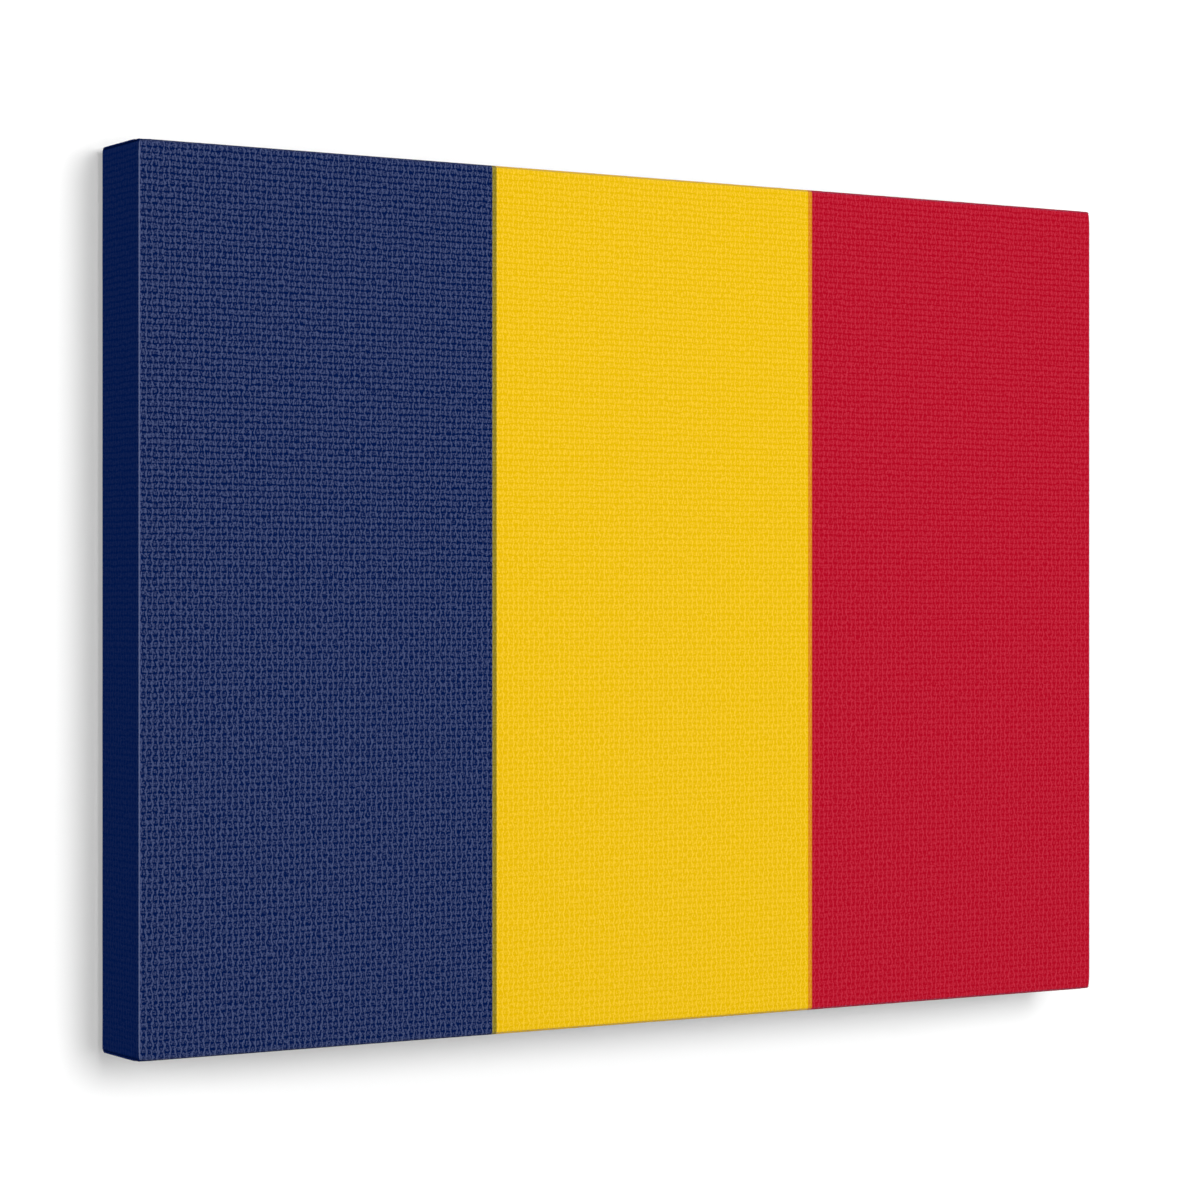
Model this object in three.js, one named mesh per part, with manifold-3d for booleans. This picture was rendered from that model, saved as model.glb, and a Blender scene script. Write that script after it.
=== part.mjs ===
// Stretched canvas: a printed canvas sheet wrapped round four mitred pine stretcher bars.
// Millimetres, +Z up. The picture faces -Y, and the frame stands on its bottom edge at z = 0.
// The origin is the bottom centre of the whole part, hardware on the back included.
import * as THREE from 'three';
import { mergeVertices } from 'three/addons/utils/BufferGeometryUtils.js';
import Module from 'manifold-3d';

const wasm = await Module();
wasm.setup();

// ---------- Driving dimensions ----------
const frameWidth = 508;
const frameHeight = 381;
const frameDepth = 38.1;
const gap = 0.3;

const canvasThickness = 0.6;
const canvasMargin = 25;
const canvasCornerRadius = 2.5;
const canvasFoldRadius = 1.4;
const canvasWindowRadius = 1;

const barWidth = 38.1;
const barCornerRadius = 1.3;
const beadWidth = 8;
const beadDrop = 3;
const coveWidth = 5;
const faceFall = 1.6;
const edgeRadius = 1.5;
const tongueFront = 12.15;
const tongueThickness = 5.85;
const tongueShy = 0.6;

const keyLength = 40;
const keyTipWidth = 7;
const keyHeadWidth = 19;
const keyInsertion = 27;
const keySideGap = 0.35;
const keyChamfer = 2.5;
const keyEdgeBevel = 0.4;
const keyHeelChamfer = 1;

const stapleCrown = 11;
const stapleWire = 0.7;
const stapleWireWidth = 1.2;
const stapleLeg = 8;
const stapleBend = 0.9;
const stapleInset = 9;
const stapleTilt = THREE.MathUtils.degToRad(6);
const longSideStaples = 10;
const longSideFirstStaple = 18;
const shortSideStaples = 7;
const shortSideFirstStaple = 42;

const hangerLength = 54;
const hangerHeight = 9.5;
const hangerSteel = 0.8;
const hangerRise = 1.3;
const hangerEndFlat = 11;
const hangerStep = 2.5;
const hangerInset = 26.5;
const hangerCornerRadius = 2.5;
const toothPitch = 2.6;
const toothDepth = 2.4;
const toothCount = 9;
const toothTipFlat = 0.4;
const hangerHoleRadius = 1.25;
const hangerHoleFromEnd = 5.5;

const nailHeadRadius = 2.3;
const nailHeadThickness = 0.7;
const nailShankRadius = 0.8;
const nailLength = 12;
const nailPoint = 2;
const nailHeadRim = 0.42;
const nailHeadFlatRadius = 1.84;

const bumperRadius = 5.5;
const bumperHeight = 2.8;
const bumperWall = 0.8;
const bumperDomeInset = 2;
const bumperInset = 31;
const bumperFromCorner = 46;

// ---------- Places worked out from them ----------
const backProud = bumperHeight - canvasThickness;
const frontY = -(frameDepth + backProud) / 2;
const barFrontY = frontY + canvasThickness + gap;
const barDepth = frameDepth - 2 * (canvasThickness + gap);
const barInset = canvasThickness + gap;
const longBar = frameWidth - 2 * barInset;
const shortBar = frameHeight - 2 * barInset;
const mitreShift = gap / Math.SQRT2;
const beyond = 2;
const weldDistance = 1e-4;

// Each bar end has a tongue in one of two layers of its depth and a slot in the other.
const frontLayer = { low: tongueFront, high: tongueFront + tongueThickness };
const backLayer = {
  low: frontLayer.high + gap,
  high: frontLayer.high + gap + tongueThickness,
};

// ---------- Solids ----------
function solidOf(geometry) {
  const bare = geometry.clone();
  bare.deleteAttribute('normal');
  bare.deleteAttribute('uv');
  const welded = mergeVertices(bare, weldDistance);
  const mesh = new wasm.Mesh({
    numProp: 3,
    vertProperties: new Float32Array(welded.attributes.position.array),
    triVerts: new Uint32Array(welded.index.array),
  });
  return new wasm.Manifold(mesh);
}

function geometryOf(solid) {
  const mesh = solid.getMesh();
  const geometry = new THREE.BufferGeometry();
  const places = new THREE.BufferAttribute(new Float32Array(mesh.vertProperties), 3);
  geometry.setAttribute('position', places);
  geometry.setIndex(new THREE.BufferAttribute(new Uint32Array(mesh.triVerts), 1));
  geometry.computeVertexNormals();
  return geometry;
}

function outlineOf(points) {
  return new THREE.Shape(points.map(([a, b]) => new THREE.Vector2(a, b)));
}

function roundedRectangle(halfWidth, low, high, radius) {
  const shape = new THREE.Shape();
  const quarter = Math.PI / 2;
  shape.absarc(halfWidth - radius, low + radius, radius, -quarter, 0);
  shape.absarc(halfWidth - radius, high - radius, radius, 0, quarter);
  shape.absarc(-halfWidth + radius, high - radius, radius, quarter, 2 * quarter);
  shape.absarc(-halfWidth + radius, low + radius, radius, 2 * quarter, 3 * quarter);
  return shape;
}

// An outline drawn in X and Z, pushed along Y from one depth to the other.
function throughDepth(shape, fromY, toY, options = {}) {
  const settings = { depth: toY - fromY, bevelEnabled: false, curveSegments: 4, ...options };
  const geometry = new THREE.ExtrudeGeometry(shape, settings);
  geometry.rotateX(Math.PI / 2);
  geometry.translate(0, toY, 0);
  return geometry;
}

// A slab in X and Z whose front and back edges are rounded by the same radius.
function softSlab(inset, fromY, toY, cornerRadius, foldRadius) {
  const halfWidth = frameWidth / 2 - inset - foldRadius;
  const low = inset + foldRadius;
  const high = frameHeight - inset - foldRadius;
  const shape = roundedRectangle(halfWidth, low, high, cornerRadius - foldRadius);
  const bevel = {
    bevelEnabled: true,
    bevelSize: foldRadius,
    bevelThickness: foldRadius,
    bevelSegments: 3,
    curveSegments: 3,
  };
  return throughDepth(shape, fromY + foldRadius, toY - foldRadius, bevel);
}

// ---------- Stretcher bars ----------
// A bar lies along X from its left end, with Y from its front bead to its back, and Z from
// the frame's outer edge towards the middle. The profile is drawn in Y and Z.
function barProfile() {
  const quarter = Math.PI / 2;
  const innerFront = beadDrop + faceFall;
  const r = edgeRadius;
  const shape = new THREE.Shape();
  shape.moveTo(0, r);
  shape.lineTo(0, beadWidth);
  shape.quadraticCurveTo(beadDrop, beadWidth + coveWidth / 3, beadDrop, beadWidth + coveWidth);
  shape.lineTo(innerFront, barWidth - r);
  shape.absarc(innerFront + r, barWidth - r, r, 2 * quarter, quarter, true);
  shape.absarc(barDepth - r, barWidth - r, r, quarter, 0, true);
  shape.absarc(barDepth - r, r, r, 0, -quarter, true);
  shape.absarc(r, r, r, -quarter, -2 * quarter, true);
  return shape;
}

function plainBar(length) {
  const settings = { depth: length, bevelEnabled: false, curveSegments: 4 };
  const geometry = new THREE.ExtrudeGeometry(barProfile(), settings);
  const alongX = new THREE.Matrix4().set(0, 0, 1, 0, 1, 0, 0, 0, 0, 1, 0, 0, 0, 0, 0, 1);
  geometry.applyMatrix4(alongX);
  return solidOf(geometry);
}

// Outlines at a bar's left end. The right end uses them mirrored along the bar.
const mitreOutline = [
  [-beyond, -beyond],
  [-beyond + mitreShift, -beyond],
  [barWidth + beyond + mitreShift, barWidth + beyond],
  [-beyond, barWidth + beyond],
];
const keySlope = (keyHeadWidth - keyTipWidth) / keyLength;
const keyTip = barWidth - keyInsertion;
const pocketFloor = keyTip - 2 * gap;
const pocketFar = barWidth + gap + keyTipWidth + gap * Math.hypot(1, keySlope);
const slotOutline = [
  [-beyond, -beyond],
  [barWidth + gap, -beyond],
  [barWidth + gap, pocketFloor],
  [pocketFar + keySlope * (pocketFloor - keyTip), pocketFloor],
  [pocketFar + keySlope * (barWidth + beyond - keyTip), barWidth + beyond],
  [-beyond, barWidth + beyond],
];
const tongueEndOutline = [
  [-beyond, -beyond],
  [tongueShy, -beyond],
  [tongueShy, barWidth + beyond],
  [-beyond, barWidth + beyond],
];

function cutAtEnd(outline, length, atRight, fromY, toY) {
  const placed = outline.map(([s, u]) => [atRight ? length - s : s, u]);
  return solidOf(throughDepth(outlineOf(placed), fromY, toY));
}

function cutBarEnd(bar, length, atRight) {
  const tongue = atRight ? backLayer : frontLayer;
  const slot = atRight ? frontLayer : backLayer;
  return bar
    .subtract(cutAtEnd(mitreOutline, length, atRight, -beyond, tongue.low))
    .subtract(cutAtEnd(mitreOutline, length, atRight, tongue.high, barDepth + beyond))
    .subtract(cutAtEnd(tongueEndOutline, length, atRight, tongue.low, tongue.high))
    .subtract(cutAtEnd(slotOutline, length, atRight, slot.low - gap, slot.high + gap));
}

// ---------- Corner keys ----------
function keyGeometry(length, atRight) {
  const edge = barWidth + gap;
  const head = keyTip + keyLength;
  const points = [
    [edge, keyTip],
    [edge + keyTipWidth, keyTip],
    [edge + keyHeadWidth - keySlope * keyChamfer, head - keyChamfer],
    [edge + keyHeadWidth - keyChamfer, head],
    [edge + keyHeelChamfer, head],
    [edge, head - keyHeelChamfer],
  ];
  const outline = outlineOf(points.map(([s, u]) => [atRight ? length - s : s, u]));
  const layer = atRight ? frontLayer : backLayer;
  const edges = {
    bevelEnabled: true,
    bevelSize: keyEdgeBevel,
    bevelOffset: -keyEdgeBevel,
    bevelThickness: keyEdgeBevel,
    bevelSegments: 1,
  };
  const inset = keySideGap / 2 + keyEdgeBevel;
  return throughDepth(outline, layer.low + inset, layer.high - inset, edges);
}

// ---------- Staples ----------
function stapleGeometry() {
  const half = stapleCrown / 2;
  const quarter = Math.PI / 2;
  const inner = stapleBend - stapleWire;
  const shape = new THREE.Shape();
  shape.moveTo(-half, -stapleLeg);
  shape.lineTo(-half + stapleWire, -stapleLeg);
  shape.absarc(-half + stapleBend, -stapleBend, inner, 2 * quarter, quarter, true);
  shape.absarc(half - stapleBend, -stapleBend, inner, quarter, 0, true);
  shape.lineTo(half - stapleWire, -stapleLeg);
  shape.lineTo(half, -stapleLeg);
  shape.absarc(half - stapleBend, -stapleBend, stapleBend, 0, quarter);
  shape.absarc(-half + stapleBend, -stapleBend, stapleBend, quarter, 2 * quarter);
  const settings = { depth: stapleWireWidth, bevelEnabled: false, curveSegments: 2 };
  const geometry = new THREE.ExtrudeGeometry(shape, settings);
  geometry.translate(0, 0, -stapleWireWidth / 2);
  return geometry;
}

// The two channels that the legs of one staple make in the canvas and the wood.
function stapleChannels(matrix) {
  const width = stapleWire + 2 * gap;
  const across = stapleWireWidth + 2 * gap;
  const depth = stapleLeg + gap + beyond;
  return [-1, 1].map((side) => {
    const channel = new THREE.BoxGeometry(width, depth, across);
    channel.translate(side * (stapleCrown - stapleWire) / 2, beyond - depth / 2, 0);
    channel.applyMatrix4(matrix);
    return solidOf(channel);
  });
}

function stapleMatrices(length, count, first) {
  const crownBack = barDepth + 2 * gap + canvasThickness + stapleWire;
  const step = (length - 2 * first) / (count - 1);
  return Array.from({ length: count }, (_, i) => {
    const tilt = stapleTilt * Math.sin(2.4 * i + count);
    const matrix = new THREE.Matrix4().makeRotationY(tilt);
    return matrix.setPosition(first + i * step, crownBack, stapleInset);
  });
}

// ---------- Hanger, nails and bumpers ----------
function hangerGeometry() {
  const half = hangerLength / 2;
  const foot = half - hangerEndFlat;
  const raised = foot - hangerStep;
  const t = hangerSteel;
  const strip = outlineOf([
    [-half, 0],
    [-foot, 0],
    [-raised, hangerRise],
    [raised, hangerRise],
    [foot, 0],
    [half, 0],
    [half, t],
    [foot, t],
    [raised, hangerRise + t],
    [-raised, hangerRise + t],
    [-foot, t],
    [-half, t],
  ]);
  const settings = { depth: hangerHeight, bevelEnabled: false };
  let hanger = solidOf(new THREE.ExtrudeGeometry(strip, settings));
  const plan = roundedRectangle(half, 0, hangerHeight, hangerCornerRadius);
  hanger = hanger.intersect(solidOf(throughDepth(plan, -beyond, beyond * 2)));
  for (let i = 0; i < toothCount; i += 1) {
    const middle = (i - (toothCount - 1) / 2) * toothPitch;
    const reach = (toothPitch - toothTipFlat) / 2;
    const overrun = 0.5;
    const notch = outlineOf([
      [middle - reach, hangerHeight + overrun],
      [middle, hangerHeight - toothDepth],
      [middle + reach, hangerHeight + overrun],
    ]);
    hanger = hanger.subtract(solidOf(throughDepth(notch, -beyond, beyond * 2)));
  }
  for (const side of [-1, 1]) {
    const hole = new THREE.CylinderGeometry(hangerHoleRadius, hangerHoleRadius, 4 * beyond, 16);
    hole.translate(side * (half - hangerHoleFromEnd), 0, hangerHeight / 2);
    hanger = hanger.subtract(solidOf(hole));
  }
  return geometryOf(hanger);
}

// A nail stands along Y with the underside of its head at y = 0 and its point towards -Y.
function nailGeometry() {
  const profile = [
    [0, -nailLength],
    [nailShankRadius, -nailLength + nailPoint],
    [nailShankRadius, 0],
    [nailHeadRadius, 0],
    [nailHeadRadius, nailHeadRim],
    [nailHeadFlatRadius, nailHeadThickness],
    [0, nailHeadThickness],
  ];
  return new THREE.LatheGeometry(profile.map(([r, y]) => new THREE.Vector2(r, y)), 16);
}

// A bumper is a low dome on a flat base, standing along Y.
function bumperGeometry() {
  const steps = 5;
  const profile = [new THREE.Vector2(0, 0), new THREE.Vector2(bumperRadius, 0)];
  for (let i = 0; i <= steps; i += 1) {
    const angle = (i / steps) * (Math.PI / 2);
    const reach = bumperRadius - bumperDomeInset * (1 - Math.cos(angle));
    const rise = bumperWall + (bumperHeight - bumperWall) * Math.sin(angle);
    profile.push(new THREE.Vector2(reach, rise));
  }
  profile.push(new THREE.Vector2(0, bumperHeight));
  return new THREE.LatheGeometry(profile, 28);
}

function nailChannel(x) {
  const radius = nailShankRadius + gap;
  const channel = new THREE.CylinderGeometry(radius, radius, nailLength + beyond, 12);
  const middle = hangerInset + hangerHeight / 2;
  channel.translate(x, barDepth + (beyond - nailLength) / 2, middle);
  return solidOf(channel);
}

// ---------- The assembly ----------
const pine = { color: 0xd9b98a, roughness: 0.75, metalness: 0 };
const keyWood = { color: 0xe2c79b, roughness: 0.7, metalness: 0 };
const wireSteel = { color: 0xb9bcc0, roughness: 0.35, metalness: 0.9 };
const zincSteel = { color: 0xc9c7bd, roughness: 0.4, metalness: 0.9 };
const printedCloth = { color: 0xf0c318, roughness: 0.85, metalness: 0 };
const feltRubber = { color: 0xe9e7e0, roughness: 0.5, metalness: 0 };

function addMesh(parent, name, geometry, finish) {
  const mesh = new THREE.Mesh(geometry, new THREE.MeshStandardMaterial(finish));
  mesh.name = name;
  parent.add(mesh);
  return mesh;
}

const stretchedCanvas = new THREE.Group();

// Walking round the frame: each side's left end meets the side before it.
const right = frameWidth / 2 - barInset;
const top = frameHeight - barInset;
const sides = [
  { name: 'bottom', length: longBar, corner: [-right, barInset], turn: 0, ends: ['left', 'right'] },
  { name: 'right', length: shortBar, corner: [right, barInset], turn: -1, ends: ['bottom', 'top'] },
  { name: 'top', length: longBar, corner: [right, top], turn: -2, ends: ['right', 'left'] },
  { name: 'left', length: shortBar, corner: [-right, top], turn: -3, ends: ['top', 'bottom'] },
];

const frameOutline = roundedRectangle(right, barInset, top, barCornerRadius);
const frameEnvelope = solidOf(throughDepth(frameOutline, frontY - beyond, -frontY + beyond));
const canvasChannels = [];

for (const side of sides) {
  const group = new THREE.Group();
  group.position.set(side.corner[0], barFrontY, side.corner[1]);
  group.rotation.y = side.turn * Math.PI / 2;
  group.updateMatrix();
  stretchedCanvas.add(group);

  const isLong = side.length === longBar;
  const count = isLong ? longSideStaples : shortSideStaples;
  const first = isLong ? longSideFirstStaple : shortSideFirstStaple;
  const staples = stapleMatrices(side.length, count, first);

  let bar = plainBar(side.length);
  bar = cutBarEnd(bar, side.length, false);
  bar = cutBarEnd(bar, side.length, true);
  const intoBar = group.matrix.clone().invert();
  bar = bar.intersect(frameEnvelope.transform(intoBar.toArray()));
  for (const matrix of staples) {
    for (const channel of stapleChannels(matrix)) {
      bar = bar.subtract(channel);
      canvasChannels.push(channel.transform(group.matrix.toArray()));
    }
  }
  const middle = side.length / 2;
  const holeReach = hangerLength / 2 - hangerHoleFromEnd;
  if (side.name === 'top') {
    bar = bar.subtract(nailChannel(middle - holeReach)).subtract(nailChannel(middle + holeReach));
  }
  addMesh(group, `bar_${side.name}`, geometryOf(bar), pine);

  side.ends.forEach((end, index) => {
    const key = keyGeometry(side.length, index === 1);
    addMesh(group, `key_${side.name}_bar_${end}_end`, key, keyWood);
  });

  staples.forEach((matrix, index) => {
    const staple = addMesh(group, `staple_${side.name}_${index + 1}`, stapleGeometry(), wireSteel);
    staple.applyMatrix4(matrix);
  });

  if (side.name === 'top') {
    const hanger = addMesh(group, 'sawtooth_hanger', hangerGeometry(), zincSteel);
    hanger.position.set(middle, barDepth + gap, hangerInset);
    ['right', 'left'].forEach((end, index) => {
      const nail = addMesh(group, `hanger_nail_${end}`, nailGeometry(), zincSteel);
      const x = middle + (index === 0 ? -holeReach : holeReach);
      nail.position.set(x, barDepth + 2 * gap + hangerSteel, hangerInset + hangerHeight / 2);
    });
  }
  if (side.name === 'bottom') {
    side.ends.forEach((end, index) => {
      const bumper = addMesh(group, `bumper_${end}`, bumperGeometry(), feltRubber);
      const x = index === 0 ? bumperFromCorner : side.length - bumperFromCorner;
      bumper.position.set(x, barDepth + gap, bumperInset);
    });
  }
}

// ---------- Canvas ----------
function canvasGeometry() {
  const t = canvasThickness;
  const backY = frontY + frameDepth;
  const outside = softSlab(0, frontY, backY, canvasCornerRadius, canvasFoldRadius);
  const innerCorner = canvasCornerRadius - t;
  const inside = softSlab(t, frontY + t, backY - t, innerCorner, canvasFoldRadius - t);
  const halfWindow = frameWidth / 2 - canvasMargin;
  const windowTop = frameHeight - canvasMargin;
  const opening = roundedRectangle(halfWindow, canvasMargin, windowTop, canvasWindowRadius);
  let sheet = solidOf(outside).subtract(solidOf(inside));
  sheet = sheet.subtract(solidOf(throughDepth(opening, backY - 2 * t, backY + beyond)));
  for (const channel of canvasChannels) {
    sheet = sheet.subtract(channel);
  }
  return geometryOf(sheet);
}

addMesh(stretchedCanvas, 'canvas', canvasGeometry(), printedCloth);

export default stretchedCanvas;
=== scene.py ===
import math

import bmesh
import bpy
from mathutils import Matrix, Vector, noise


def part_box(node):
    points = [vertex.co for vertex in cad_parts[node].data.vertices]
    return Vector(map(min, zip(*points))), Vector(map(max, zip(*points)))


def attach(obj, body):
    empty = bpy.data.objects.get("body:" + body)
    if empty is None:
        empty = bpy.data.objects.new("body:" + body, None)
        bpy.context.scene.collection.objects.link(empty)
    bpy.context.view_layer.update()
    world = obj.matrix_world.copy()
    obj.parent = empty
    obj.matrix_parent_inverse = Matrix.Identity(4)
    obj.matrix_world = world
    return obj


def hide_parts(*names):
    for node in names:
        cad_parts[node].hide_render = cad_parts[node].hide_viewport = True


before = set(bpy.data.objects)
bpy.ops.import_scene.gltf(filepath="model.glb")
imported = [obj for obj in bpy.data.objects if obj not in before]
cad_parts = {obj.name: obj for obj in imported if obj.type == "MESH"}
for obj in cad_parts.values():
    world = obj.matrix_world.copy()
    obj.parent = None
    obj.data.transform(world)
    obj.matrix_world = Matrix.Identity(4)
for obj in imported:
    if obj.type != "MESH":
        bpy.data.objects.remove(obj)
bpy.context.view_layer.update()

# ------------------------------------------------------------------ sizes
MM = 0.001

HALF_WIDTH = 254.0 * MM
HALF_HEIGHT = 190.5 * MM
FRONT = -20.15 * MM
BACK = 18.1 * MM
SIDE_DEPTH = BACK - FRONT
MARGIN = 25.0 * MM
CLOTH_THICKNESS = 0.45 * MM

FRAME_BODY = "stretched_frame"
LYING_BARS = ["bar_bottom", "bar_top"]
STANDING_BARS = ["bar_left", "bar_right"]

# print
FIRST_BORDER = -84.2 * MM
SECOND_BORDER = 85.2 * MM
BORDER_WIDTH = 2.15 * MM
BORDER_FEATHER = 0.25 * MM
PRINT_BLEED = 9.0 * MM
YARN_PITCH = 2.62 * MM


def srgb(red, green, blue):
    """A colour given in the usual 0 to 255 steps, as linear light."""
    linear = []
    for step in (red, green, blue):
        share = step / 255
        low = share / 12.92
        high = ((share + 0.055) / 1.055) ** 2.4
        linear.append(low if share <= 0.04045 else high)
    return (*linear, 1.0)


def smooth_step(low, high, value):
    """How far a value is from low to high, eased at both ends."""
    share = min(1.0, max(0.0, (value - low) / (high - low)))
    return share * share * (3 - 2 * share)


# ------------------------------------------------------------------ node helpers
def join_sockets(tree, node, sockets):
    """Links each named input to a socket, or sets its value."""
    for name, value in sockets.items():
        if isinstance(value, bpy.types.NodeSocket):
            tree.links.new(value, node.inputs[name])
        else:
            node.inputs[name].default_value = value


def add(tree, kind, sockets=None, **settings):
    """A node with its settings, and each named socket linked or set."""
    made = tree.nodes.new(kind)
    for name, value in settings.items():
        setattr(made, name, value)
    join_sockets(tree, made, sockets or {})
    return made


def maths(tree, operation, *values, clamp=False):
    """The result of one Math node."""
    sockets = dict(enumerate(values))
    made = add(tree, "ShaderNodeMath", sockets, operation=operation, use_clamp=clamp)
    return made.outputs[0]


def times(tree, first, second):
    """Two values multiplied."""
    return maths(tree, "MULTIPLY", first, second)


def scale_shift(tree, value, factor, shift):
    """A value times a factor, plus a shift."""
    return maths(tree, "MULTIPLY_ADD", value, factor, shift)


def swing(tree, noise_value, reach, base):
    """A base value made to vary by a noise centred on its middle."""
    return scale_shift(tree, maths(tree, "SUBTRACT", noise_value, 0.5), reach, base)


def remap(tree, value, low, high, new_low=0.0, new_high=1.0):
    """A value eased from one range to another."""
    sockets = {0: value, 1: low, 2: high, 3: new_low, 4: new_high}
    made = add(tree, "ShaderNodeMapRange", sockets, interpolation_type="SMOOTHSTEP")
    return made.outputs[0]


def blend_colours(tree, share, first, second):
    """Two colours mixed by a share."""
    return add(tree, "ShaderNodeMix", {0: share, 6: first, 7: second}, data_type="RGBA").outputs[2]


def blend_values(tree, share, first, second):
    """Two values mixed by a share."""
    return add(tree, "ShaderNodeMix", {0: share, 2: first, 3: second}, data_type="FLOAT").outputs[0]


def scaled(tree, vector, scale, rotation=(0, 0, 0)):
    """A vector after a Mapping node."""
    sockets = {"Vector": vector, "Scale": scale, "Rotation": rotation}
    return add(tree, "ShaderNodeMapping", sockets).outputs[0]


def cloudy(tree, vector, scale, detail=2.0):
    """The plain value of a Noise node."""
    sockets = {"Vector": vector, "Scale": scale, "Detail": detail}
    return add(tree, "ShaderNodeTexNoise", sockets).outputs[0]


def new_group(name, inputs, outputs):
    """An empty shader group with its named sockets, its input node and its output node."""
    group = bpy.data.node_groups.new(name, "ShaderNodeTree")
    for socket_name, kind, value in inputs:
        socket = group.interface.new_socket(socket_name, in_out="INPUT", socket_type=kind)
        if value is not None:
            socket.default_value = value
    for socket_name, kind in outputs:
        group.interface.new_socket(socket_name, in_out="OUTPUT", socket_type=kind)
    start = group.nodes.new("NodeGroupInput")
    end = group.nodes.new("NodeGroupOutput")
    return group, start, end


def use_group(tree, group, sockets):
    """A shared effect placed in a material, with its sockets linked or set."""
    made = tree.nodes.new("ShaderNodeGroup")
    made.node_tree = group
    join_sockets(tree, made, sockets)
    return made


def new_material(name, roughness=0.5, metallic=0.0):
    """A material with its node tree and its shader."""
    material = bpy.data.materials.new(name)
    material.use_nodes = True
    tree = material.node_tree
    shader = tree.nodes["Principled BSDF"]
    shader.inputs["Roughness"].default_value = roughness
    shader.inputs["Metallic"].default_value = metallic
    return material, tree, shader


def put_bump(tree, shader, height, strength, distance):
    """Raises the surface by a height pattern."""
    bump = add(tree, "ShaderNodeBump", {"Height": height, "Strength": strength, "Distance": distance})
    tree.links.new(bump.outputs[0], shader.inputs["Normal"])


# ------------------------------------------------------------------ shared surface effects
# weave: noise scales are per metre, the rest are shares
DRIFT_SCALE = 190.0
FIBRE_SCALE = 1500.0
PLY_SCALE = (2400.0, 420.0, 1.0)
YARN_LIFT = 0.45
SNAKE_LAG = 0.6
SNAKE_REACH = 0.41
FIBRE_REACH = 1.5
PLY_REACH = 1.3
CROWN_CONTRAST = 2.5
CROWN_LEVEL = -0.64


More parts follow.
